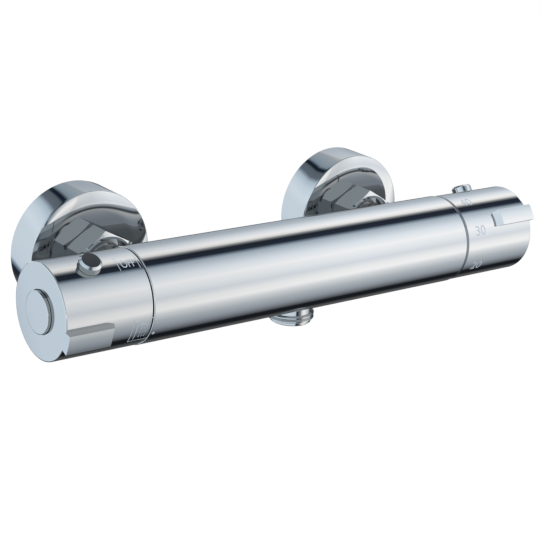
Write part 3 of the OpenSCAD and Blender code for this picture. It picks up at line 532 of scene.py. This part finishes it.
# What the polished bar mirrors, by the angle about its length: 0 is to the front, 90 is straight up
ROOM_STOPS = (
    (-180, (0.24, 0.26, 0.29)),
    (-162, (0.11, 0.12, 0.14)),
    (-150, (0.09, 0.10, 0.11)),
    (-125, (0.10, 0.10, 0.10)),
    (-108, (0.010, 0.012, 0.015)),
    (-93, (0.010, 0.012, 0.017)),
    (-86, (0.11, 0.12, 0.13)),
    (-70, (0.30, 0.33, 0.37)),
    (-50, (0.48, 0.52, 0.55)),
    (-35, (0.72, 0.74, 0.75)),
    (-24, (1.0, 0.99, 0.97)),
    (-12, (0.94, 0.94, 0.93)),
    (3, (0.74, 0.78, 0.82)),
    (18, (0.88, 0.91, 0.93)),
    (34, (1.0, 1.0, 1.0)),
    (52, (0.80, 0.86, 0.91)),
    (66, (0.58, 0.64, 0.70)),
    (76, (0.40, 0.47, 0.53)),
    (82, (0.14, 0.18, 0.23)),
    (86, (0.02, 0.028, 0.042)),
    (99, (0.016, 0.022, 0.034)),
    (105, (0.26, 0.265, 0.27)),
    (111, (0.84, 0.83, 0.81)),
    (119, (1.0, 0.99, 0.97)),
    (132, (0.80, 0.84, 0.88)),
    (150, (0.52, 0.58, 0.64)),
    (165, (0.42, 0.47, 0.52)),
)


# What the flanges, nuts and end faces mirror, by the angle about the wall's normal: 0 is right, 90 is up
SIDE_STOPS = (
    (-180, (0.63, 0.72, 0.79)),
    (-160, (0.62, 0.71, 0.78)),
    (-132, (0.58, 0.67, 0.75)),
    (-124, (0.20, 0.26, 0.34)),
    (-116, (0.015, 0.02, 0.035)),
    (-104, (0.02, 0.025, 0.035)),
    (-80, (0.12, 0.13, 0.14)),
    (-30, (0.50, 0.52, 0.55)),
    (0, (0.80, 0.80, 0.80)),
    (17, (0.95, 0.94, 0.93)),
    (30, (0.80, 0.80, 0.79)),
    (42, (0.54, 0.55, 0.56)),
    (54, (0.34, 0.38, 0.41)),
    (70, (0.27, 0.33, 0.38)),
    (78, (0.22, 0.28, 0.33)),
    (84, (0.010, 0.018, 0.030)),
    (89, (0.008, 0.016, 0.030)),
    (93, (0.10, 0.12, 0.135)),
    (106, (0.12, 0.15, 0.19)),
    (115, (0.44, 0.54, 0.62)),
    (128, (0.60, 0.70, 0.78)),
    (145, (0.69, 0.77, 0.84)),
    (164, (0.63, 0.72, 0.79)),
)


def build_world(settings):
    """White room whose softboxes and dark flags show only in the chrome."""
    world = bpy.data.worlds.new("studio_room")
    world.use_nodes = True
    bpy.context.scene.world = world
    nodes, links = world.node_tree.nodes, world.node_tree.links
    nodes.clear()
    output = nodes.new("ShaderNodeOutputWorld")
    place = nodes.new("ShaderNodeTexCoord")
    parts = nodes.new("ShaderNodeSeparateXYZ")
    links.new(place.outputs["Generated"], parts.inputs["Vector"])
    front = math_node(nodes, links, "MULTIPLY", parts.outputs["Y"], -1.0)
    room = ring_ramp(nodes, ROOM_STOPS)
    links.new(turn_share(nodes, links, parts.outputs["Z"], front), room.inputs["Fac"])
    side = ring_ramp(nodes, SIDE_STOPS)
    slant = map_range(nodes, links, parts.outputs["Y"], SLANT_SPAN, SLANT_SHIFT)
    turn = turn_share(nodes, links, parts.outputs["Z"], parts.outputs["X"])
    slanted = math_node(nodes, links, "ADD", turn, slant.outputs["Result"])
    links.new(math_node(nodes, links, "FRACT", slanted), side.inputs["Fac"])
    choice = map_range(nodes, links, parts.outputs["X"], SIDE_SPAN)
    choice.interpolation_type = "SMOOTHSTEP"
    mix = mixed_colour(nodes, links, choice.outputs["Result"], room.outputs["Color"])
    links.new(side.outputs["Color"], mix.inputs["B"])

    rays = nodes.new("ShaderNodeLightPath")
    depth = rays.outputs["Glossy Depth"]
    again = math_node(nodes, links, "GREATER_THAN", depth, SECOND_REFLECTION)
    often = math_node(nodes, links, "GREATER_THAN", depth, THIRD_REFLECTION)
    later = math_node(nodes, links, "MULTIPLY", often, THIRD_LOSS_SHARE)
    losses = math_node(nodes, links, "ADD", again, later)
    lost = math_node(nodes, links, "MULTIPLY", losses, REFLECTION_LOSS)
    dimmed = math_node(nodes, links, "SUBTRACT", 1.0, lost)
    fade = map_range(nodes, links, parts.outputs["X"], FADE_SPAN, FADE_RANGE)
    sided = math_node(nodes, links, "MAXIMUM", fade.outputs["Result"], choice.outputs["Result"])

    forward = math_node(nodes, links, "LESS_THAN", parts.outputs["Y"], 0.0)
    aside = math_node(nodes, links, "MULTIPLY", forward, choice.outputs["Result"])
    aside = math_node(nodes, links, "MAXIMUM", aside, RETURNED_LEAST)
    share = math_node(nodes, links, "MULTIPLY", again, aside)
    returned = mixed_colour(nodes, links, share, mix.outputs["Result"])
    returned.inputs["B"].default_value = RETURNED_COLOUR
    mirrored = nodes.new("ShaderNodeBackground")
    links.new(returned.outputs["Result"], mirrored.inputs["Color"])
    links.new(math_node(nodes, links, "MULTIPLY", sided, dimmed), mirrored.inputs["Strength"])
    even = nodes.new("ShaderNodeBackground")
    even.inputs["Color"].default_value = (1.0, 1.0, 1.0, 1.0)
    even.inputs["Strength"].default_value = settings.room_light
    white = nodes.new("ShaderNodeBackground")
    white.inputs["Color"].default_value = (1.0, 1.0, 1.0, 1.0)
    glossy = mixed_shader(
        nodes, links, rays.outputs["Is Glossy Ray"], even.outputs["Background"],
        mirrored.outputs["Background"])
    direct = math_node(
        nodes, links, "MAXIMUM", rays.outputs["Is Camera Ray"], rays.outputs["Is Transmission Ray"])
    seen = mixed_shader(nodes, links, direct, glossy, white.outputs["Background"])
    links.new(seen, output.inputs["Surface"])


def build_floor(settings):
    """Plain pale floor below the valve, white to the camera, that keeps the object's shadow."""
    bm = bmesh.new()
    bmesh.ops.create_grid(bm, x_segments=1, y_segments=1, size=FLOOR_HALF)
    bmesh.ops.translate(bm, verts=bm.verts, vec=(0.0, 0.0, BAR_Z - settings.floor_drop))
    mesh = bpy.data.meshes.new("studio_floor")
    bm.to_mesh(mesh)
    bm.free()
    material, nodes, links, shader = make_material("studio_floor")
    shader.inputs["Base Color"].default_value = (FLOOR_GREY, FLOOR_GREY, FLOOR_GREY, 1.0)
    shader.inputs["Roughness"].default_value = 0.9
    glow = nodes.new("ShaderNodeEmission")
    glow.inputs["Strength"].default_value = FLOOR_GLOW
    rays = nodes.new("ShaderNodeLightPath")
    share = math_node(nodes, links, "MULTIPLY", rays.outputs["Is Camera Ray"], FLOOR_GLOW_SHARE)
    seen = mixed_shader(nodes, links, share, shader.outputs["BSDF"], glow.outputs["Emission"])
    links.new(seen, nodes["Material Output"].inputs["Surface"])
    mesh.materials.append(material)
    floor = bpy.data.objects.new("studio_floor", mesh)
    bpy.context.scene.collection.objects.link(floor)
    floor.visible_glossy = False


def build_lamp(settings):
    """Large soft lamp above and in front of the valve."""
    data = bpy.data.lights.new("overhead_softbox", "AREA")
    data.shape = "RECTANGLE"
    data.size, data.size_y = LAMP_SIZE
    data.energy = settings.lamp_power
    lamp = bpy.data.objects.new("overhead_softbox", data)
    bpy.context.scene.collection.objects.link(lamp)
    lamp.location = LAMP_PLACE
    lamp.rotation_euler = (BAR_CENTRE - Vector(LAMP_PLACE)).to_track_quat("-Z", "Y").to_euler()
    lamp.visible_glossy = False


def build_camera(settings):
    """Camera at the photograph's viewing angle."""
    data = bpy.data.cameras.new("front_left_camera")
    data.sensor_fit = "AUTO"
    data.sensor_width = SENSOR_MM
    data.lens = SENSOR_MM * settings.focal_px / PICTURE_PX
    data.clip_start = CLIP_NEAR
    data.clip_end = CLIP_FAR
    camera = bpy.data.objects.new("front_left_camera", data)
    bpy.context.scene.collection.objects.link(camera)
    turn = Vector(settings.camera_turn)
    to_camera = Matrix.Rotation(turn.length, 3, turn.normalized())
    flip = Matrix(((1, 0, 0), (0, -1, 0), (0, 0, -1)))
    world = (flip @ to_camera).transposed().to_4x4()
    world.translation = Vector(settings.camera_place)
    camera.matrix_world = world
    bpy.context.scene.camera = camera


# Pieces

def turned_core(bm, centre, axis, across, outline, steps):
    """Closed shell spun about an axis from (radius, height) pairs."""
    verts = [bm.verts.new(centre + across * r + axis * h) for r, h in outline]
    edges = [bm.edges.new((a, b)) for a, b in zip(verts, verts[1:] + verts[:1])]
    bmesh.ops.spin(
        bm, geom=verts + edges, cent=centre, axis=axis, dvec=(0.0, 0.0, 0.0), angle=2.0 * math.pi,
        steps=steps, use_merge=True, use_duplicate=False)
    bmesh.ops.remove_doubles(bm, verts=bm.verts, dist=MERGE_DIST)


def thread_ridge(bm, centre, axis, across, root_r, crest_r, start, stop, settings):
    """Pointed ridge wound round a core from one height to another, closed at both ends."""
    half = settings.pitch * 0.5
    flat = settings.pitch * RIDGE_CREST_SHARE
    corners = ((root_r, -half), (crest_r, -flat), (crest_r, flat), (root_r, half))
    verts = [bm.verts.new(centre + across * r + axis * (start + h)) for r, h in corners]
    first = bm.faces.new(verts)
    turns = (stop - start) / settings.pitch
    steps = int(round(settings.steps * turns))
    result = bmesh.ops.spin(
        bm, geom=[first], cent=centre, axis=axis, dvec=axis * ((stop - start) / steps),
        angle=2.0 * math.pi * turns, steps=steps, use_merge=False, use_duplicate=False)
    last = [item for item in result["geom_last"] if isinstance(item, bmesh.types.BMFace)]
    for face in [first] + last:
        for vert in face.verts:
            height = (vert.co - centre).dot(axis)
            spoke = vert.co - centre - axis * height
            vert.co = centre + axis * height + spoke.normalized() * root_r


def flat_line(bm, start, end, width):
    """Thin rectangle between two points of a flat drawing."""
    start, end = Vector((*start, 0.0)), Vector((*end, 0.0))
    along = end - start
    made = bmesh.ops.create_grid(bm, x_segments=1, y_segments=1, size=0.5)
    turn = Matrix.Rotation(math.atan2(along.y, along.x), 4, "Z")
    size = Matrix.Diagonal((along.length + width, width, 1.0, 1.0))
    place = Matrix.Translation((start + end) / 2) @ turn @ size
    bmesh.ops.transform(bm, matrix=place, verts=made["verts"])


def flat_frame(bm, low, high, width):
    """Outline of a rectangle in a flat drawing."""
    corners = (low, (high[0], low[1]), high, (low[0], high[1]))
    for a, b in zip(corners, corners[1:] + corners[:1]):
        flat_line(bm, a, b, width)


def flat_words(bm, words, height, narrow):
    """Plain lettering in a flat drawing, centred, with its width changed."""
    data = bpy.data.curves.new("lettering", "FONT")
    data.body = words
    data.size = height / CAPITAL_SHARE
    data.align_x = "CENTER"
    data.align_y = "CENTER"
    data.resolution_u = LETTER_STEPS
    source = bpy.data.objects.new("lettering", data)
    bpy.context.scene.collection.objects.link(source)
    bpy.context.view_layer.update()
    mesh = bpy.data.meshes.new_from_object(source)
    letters = bmesh.new()
    letters.from_mesh(mesh)
    bmesh.ops.scale(letters, verts=letters.verts, vec=(narrow, 1.0, 1.0))
    letters.to_mesh(mesh)
    letters.free()
    bm.from_mesh(mesh)
    bpy.data.objects.remove(source)
    bpy.data.meshes.remove(mesh)
    bpy.data.curves.remove(data)


def wrapped_mark(name, flat, place_x, degrees, radius, material, body):
    """Bends a flat drawing round the bar's axis and gives it a little thickness, let into the plate."""
    reach = max(abs(vert.co.y) for vert in flat.verts)
    cut = -reach
    while cut < reach:
        bmesh.ops.bisect_plane(
            flat, geom=flat.verts[:] + flat.edges[:] + flat.faces[:], dist=MARK_MERGE_DIST,
            plane_co=(0.0, cut, 0.0), plane_no=(0.0, 1.0, 0.0))
        cut += MARK_STRIP
    bmesh.ops.remove_doubles(flat, verts=flat.verts, dist=MARK_MERGE_DIST)
    bmesh.ops.recalc_face_normals(flat, faces=flat.faces)
    bmesh.ops.solidify(flat, geom=flat.faces[:], thickness=MARK_DEPTH)
    centre = math.radians(degrees)
    for vert in flat.verts:
        angle = centre + vert.co.y / radius
        r = radius + MARK_RISE + min(0.0, -abs(vert.co.z))
        vert.co = (place_x + vert.co.x, BAR_Y - r * math.cos(angle), BAR_Z + r * math.sin(angle))
    bmesh.ops.recalc_face_normals(flat, faces=flat.faces)
    return new_piece(name, flat, material, body)


class VALVE_OT_stage(bpy.types.Operator):
    """Camera, plain floor, even white room and one soft lamp"""
    bl_idname = "valve.stage"
    bl_label = "Stage"

    def execute(self, context):
        settings = context.scene.valve_studio
        scene = context.scene
        scene.view_settings.view_transform = "Standard"
        build_camera(settings)
        build_world(settings)
        build_floor(settings)
        build_lamp(settings)
        return {"FINISHED"}


class VALVE_OT_chrome(bpy.types.Operator):
    """Chrome plate on the bar, the handles, their buttons and caps, and the wall connections"""
    bl_idname = "valve.chrome"
    bl_label = "Chrome plate"

    def execute(self, context):
        paint(CHROME_NODES, chrome_plate(context.scene.valve_chrome))
        return {"FINISHED"}


class VALVE_OT_inner_finishes(bpy.types.Operator):
    """Brass, copper, steel, rubber, ceramic and plastic on cartridges, springs, seals and check valves"""
    bl_idname = "valve.inner_finishes"
    bl_label = "Inner finishes"

    def execute(self, context):
        paint(BRASS_NODES, machined_brass())
        paint(THREADED_NODES, threaded_brass(context.scene.valve_threads))
        paint(COPPER_NODES, drawn_copper())
        paint(STEEL_NODES, stainless_wire())
        paint(RUBBER_NODES, seal_rubber())
        paint(CERAMIC_NODES, lapped_ceramic())
        paint(WHITE_NODES, moulded_plastic("white_moulding", (0.74, 0.74, 0.72), (0.82, 0.82, 0.80)))
        paint(GREY_NODES, moulded_plastic("grey_moulding", (0.14, 0.15, 0.16), (0.20, 0.21, 0.22)))
        return {"FINISHED"}


class VALVE_OT_outlet_thread(bpy.types.Operator):
    """Hose outlet with its pipe thread and its bore, in place of the plain stub"""
    bl_idname = "valve.outlet_thread"
    bl_label = "Outlet thread"

    def execute(self, context):
        settings = context.scene.valve_threads
        crest_r = (NIPPLE_HIGH.x - NIPPLE_LOW.x) / 2
        root_r = crest_r - settings.depth
        foot, tip = BAR_R - OUTLET_SINK, BAR_Z - NIPPLE_LOW.z
        outline = (
            (BORE_R, foot), (root_r, foot), (root_r, tip - OUTLET_EDGE), (root_r - OUTLET_EDGE, tip),
            (BORE_R + OUTLET_EDGE, tip), (BORE_R, tip - OUTLET_EDGE),
        )
        bm = bmesh.new()
        turned_core(bm, BAR_CENTRE, DOWN, RIGHT, outline, settings.steps)
        thread_ridge(
            bm, BAR_CENTRE, DOWN, RIGHT, root_r - RIDGE_SINK, crest_r, BAR_R + RIDGE_START,
            tip - RIDGE_STOP, settings)
        bmesh.ops.recalc_face_normals(bm, faces=bm.faces)
        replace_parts(chrome_piece("outlet_thread", bm, "valve"), "outlet_nipple")
        return {"FINISHED"}


class VALVE_OT_seam_rings(bpy.types.Operator):
    """Rolled lip at the flow handle's inner rim, and the satin collar at the temperature handle's, whose
    dark plate is partly painted seam shade
    """
    bl_idname = "valve.seam_rings"
    bl_label = "Seam rings"

    def execute(self, context):
        settings = context.scene.valve_trim
        lip = settings.lip_radius
        face = BODY_HIGH.x + settings.groove
        crown = HANDLE_R + MARK_RISE
        arc = [math.radians(90.0 * k / LIP_STEPS) for k in range(LIP_STEPS + 1)]
        outline = [(HANDLE_R - LIP_DEPTH, face)]
        outline += [(crown - lip + lip * math.sin(a), face + lip - lip * math.cos(a)) for a in arc]
        outline += [(crown, face + LIP_REACH), (HANDLE_R - LIP_DEPTH, face + LIP_REACH)]
        bm = bmesh.new()
        turned_core(bm, BAR_CENTRE, LEFT, UP, outline, settings.turn_steps)
        bmesh.ops.recalc_face_normals(bm, faces=bm.faces)
        chrome_piece("flow_rim_lip", bm, "flow_knob")

        inner, near = HANDLE_R - COLLAR_DEPTH, BODY_HIGH.x + COLLAR_FIT
        top, far = HANDLE_R + settings.collar_rise, BODY_HIGH.x + settings.collar_width
        outline = (
            (inner, near), (top - COLLAR_EDGE, near), (top, near + COLLAR_EDGE), (top, far - COLLAR_EDGE),
            (top - COLLAR_EDGE, far), (inner, far),
        )
        bm = bmesh.new()
        turned_core(bm, BAR_CENTRE, RIGHT, UP, outline, settings.turn_steps)
        bmesh.ops.recalc_face_normals(bm, faces=bm.faces)
        shade_smooth(bm)
        # The collar's dark plate also paints the shade in the gap at the seam
        new_piece("temp_collar", bm, satin_chrome_and_seam_shade(), "temp_knob")
        return {"FINISHED"}


def flange_outline(outer, depth):
    """Section of a wall flange as (radius, distance from the wall) pairs, with a crown of many steps."""
    run = outer - FLANGE_FLAT_R
    crown = (run * run + FLANGE_FALL * FLANGE_FALL) / (2.0 * FLANGE_FALL)
    sweep = math.asin(run / crown)
    outline = [(outer - FLANGE_WALL, 0.0), (outer, 0.0)]
    for k in range(CROWN_STEPS + 1):
        angle = sweep * (1.0 - k / CROWN_STEPS)
        fall = crown * (1.0 - math.cos(angle))
        outline.append((FLANGE_FLAT_R + crown * math.sin(angle), depth - fall))
    inside = depth - FLANGE_WALL
    hub_r = NECK_HOLE_R + FLANGE_WALL
    outline += [
        (NECK_HOLE_R, depth), (NECK_HOLE_R, depth - HUB_LEN), (hub_r, depth - HUB_LEN), (hub_r, inside),
        (FLANGE_FLAT_R, inside), (outer - FLANGE_WALL, inside - FLANGE_FALL),
    ]
    return outline


class VALVE_OT_flanges(bpy.types.Operator):
    """Wall flanges with a finely turned crown and a rounded rim, in place of the plainer ones"""
    bl_idname = "valve.flanges"
    bl_label = "Wall flanges"

    def execute(self, context):
        settings = context.scene.valve_trim
        for node, name in (("hot_escutcheon", "hot_flange"), ("cold_escutcheon", "cold_flange")):
            low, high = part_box(node)
            outer, depth = (high.x - low.x) / 2, high.y - low.y
            centre = Vector(((low.x + high.x) / 2, high.y, (low.z + high.z) / 2))
            bm = bmesh.new()
            turned_core(bm, centre, FROM_WALL, RIGHT, flange_outline(outer, depth), settings.turn_steps)
            rim = [
                edge for edge in bm.edges
                if all(abs((vert.co - centre).xz.length - outer) < RIM_SLACK for vert in edge.verts)
                and all(vert.co.y < high.y - RIM_SLACK for vert in edge.verts)]
            bmesh.ops.bevel(
                bm, geom=rim, offset=settings.rim_rounding, offset_type="OFFSET", segments=RIM_STEPS,
                profile=0.5, affect="EDGES", material=-1)
            bmesh.ops.recalc_face_normals(bm, faces=bm.faces)
            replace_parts(chrome_piece(name, bm, "valve"), node)
        return {"FINISHED"}


class VALVE_OT_press_buttons(bpy.types.Operator):
    """Press buttons with their tops slanted towards the thumb, in place of the flat ones"""
    bl_idname = "valve.press_buttons"
    bl_label = "Press buttons"

    def execute(self, context):
        slant = math.tan(context.scene.valve_trim.button_slant)
        for node, body in (("flow_button", "flow_press_button"), ("temp_button", "temp_press_button")):
            low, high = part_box(node)
            out = (low + high) / 2 - BAR_CENTRE
            axis = Vector((0.0, out.y, out.z)).normalized()
            over = RIGHT.cross(axis)
            if over.y < 0.0:
                over.negate()
            bm = bmesh.new()
            bm.from_mesh(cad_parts[node].data)
            bmesh.ops.remove_doubles(bm, verts=bm.verts, dist=MERGE_DIST)
            for vert in bm.verts:
                spoke = vert.co - BAR_CENTRE
                if spoke.dot(axis) > HANDLE_R + BUTTON_FOOT:
                    vert.co += axis * (slant * (spoke.dot(over) - (high.x - low.x) / 2))
            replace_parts(chrome_piece(node + "_slanted", bm, body), node)
        return {"FINISHED"}


class VALVE_OT_flow_marks(bpy.types.Operator):
    """Word, ticks and framed shower sign on the flow handle, and the index dot on the bar"""
    bl_idname = "valve.flow_marks"
    bl_label = "Flow marks"

    def execute(self, context):
        settings = context.scene.valve_marks
        ink = etched_mark(settings)
        line = settings.line
        word = bmesh.new()
        flat_words(word, "OFF", settings.word_height, WORD_NARROW)
        wrapped_mark("off_word", word, WORD_X, WORD_ANGLE, HANDLE_R, ink, "flow_knob")
        ticks = bmesh.new()
        for x in (-TICK_HALF_GAP, TICK_HALF_GAP):
            flat_line(ticks, (x, TICK_SPAN[0]), (x, TICK_SPAN[1]), line * FINE_LINE)
        wrapped_mark("off_ticks", ticks, WORD_X, TICK_ANGLE, HANDLE_R, ink, "flow_knob")
        sign = bmesh.new()
        flat_frame(sign, (-SIGN_HALF[0], -SIGN_HALF[1]), SIGN_HALF, line * FINE_LINE)
        for start, end in SIGN_STROKES:
            flat_line(sign, start, end, line)
        for row in range(DROP_ROWS):
            for column in range(DROP_COLUMNS):
                x = DROP_PLACE[0] + column * DROP_STEP[0]
                top = DROP_PLACE[1] - row * DROP_STEP[1]
                flat_line(sign, (x, top), (x, top - DROP_LEN), line * FINE_LINE)
        wrapped_mark("shower_sign", sign, SIGN_X, SIGN_ANGLE, HANDLE_R, ink, "flow_knob")
        dot = bmesh.new()
        bmesh.ops.create_circle(dot, cap_ends=True, segments=INDEX_STEPS, radius=INDEX_R)
        wrapped_mark("flow_index", dot, INDEX_X, INDEX_ANGLE, BAR_R, ink, "valve")
        return {"FINISHED"}


class VALVE_OT_dial_numbers(bpy.types.Operator):
    """Temperature numbers round the other handle"""
    bl_idname = "valve.dial_numbers"
    bl_label = "Dial numbers"

    def execute(self, context):
        settings = context.scene.valve_marks
        ink = etched_mark(settings)
        for words, x, degrees in DIAL_NUMBERS:
            number = bmesh.new()
            flat_words(number, words, settings.dial_height, 1.0)
            wrapped_mark("dial_" + words, number, x * MM, degrees, HANDLE_R, ink, "temp_knob")
        return {"FINISHED"}


class VALVE_PT_panel(bpy.types.Panel):
    """Lists the valve's operators"""
    bl_idname = "VALVE_PT_panel"
    bl_label = "Shower Valve"
    bl_space_type = "VIEW_3D"
    bl_region_type = "UI"
    bl_category = "Shower Valve"

    def draw(self, context):
        layout = self.layout
        for operator in OPERATORS:
            layout.operator(operator.bl_idname)


OPERATORS = (
    VALVE_OT_stage, VALVE_OT_chrome, VALVE_OT_inner_finishes, VALVE_OT_outlet_thread, VALVE_OT_seam_rings,
    VALVE_OT_flanges, VALVE_OT_press_buttons, VALVE_OT_flow_marks, VALVE_OT_dial_numbers,
)
GROUPS = (
    (StudioSettings, "valve_studio"),
    (ChromeSettings, "valve_chrome"),
    (ThreadSettings, "valve_threads"),
    (TrimSettings, "valve_trim"),
    (MarkingSettings, "valve_marks"),
)


def register():
    for group, name in GROUPS:
        bpy.utils.register_class(group)
        setattr(bpy.types.Scene, name, PointerProperty(type=group))
    for operator in OPERATORS:
        bpy.utils.register_class(operator)
    bpy.utils.register_class(VALVE_PT_panel)


def unregister():
    bpy.utils.unregister_class(VALVE_PT_panel)
    for operator in reversed(OPERATORS):
        bpy.utils.unregister_class(operator)
    for group, name in reversed(GROUPS):
        delattr(bpy.types.Scene, name)
        bpy.utils.unregister_class(group)


def main():
    register()
    bpy.ops.valve.stage()
    bpy.ops.valve.chrome()
    bpy.ops.valve.inner_finishes()
    bpy.ops.valve.outlet_thread()
    bpy.ops.valve.seam_rings()
    bpy.ops.valve.flanges()
    bpy.ops.valve.press_buttons()
    bpy.ops.valve.flow_marks()
    bpy.ops.valve.dial_numbers()


if __name__ == "__main__":
    main()
